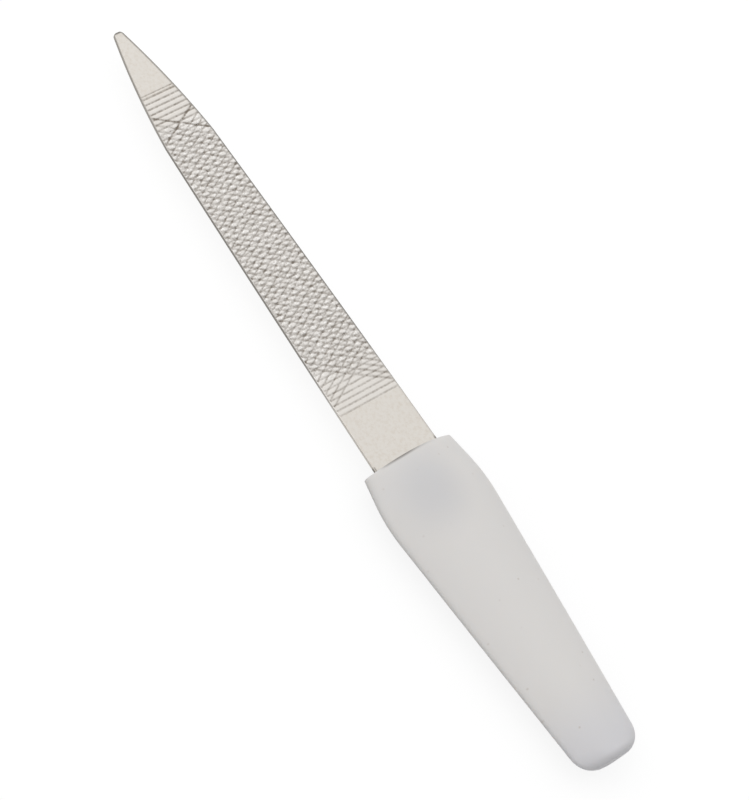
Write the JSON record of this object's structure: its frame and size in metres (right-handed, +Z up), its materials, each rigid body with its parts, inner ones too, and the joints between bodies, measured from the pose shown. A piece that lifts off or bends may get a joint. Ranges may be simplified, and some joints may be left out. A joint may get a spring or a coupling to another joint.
{
  "type": "nail file",
  "caption": "Flat steel nail file with cross-cut teeth on both faces and a blunt point, its tang locked in a domed, tapering moulded plastic handle.",
  "frame": {"origin": "under the middle of the whole file, at the level of the handle's underside", "axes": "+X along the file from the handle to the tip, +Y across the blade, +Z up out of the blade's upper face"},
  "size_m": [0.13, 0.0184, 0.008],
  "materials": {
    "blade_steel": "nickel-plated steel, satin, with fine raised file teeth in three crossing cuts on both faces",
    "handle_plastic": "white moulded plastic, slightly translucent, fine satin surface"
  },
  "bodies": {
    "root": {"file_blade": "blade_steel", "handle": "handle_plastic"}
  },
  "joints": []
}
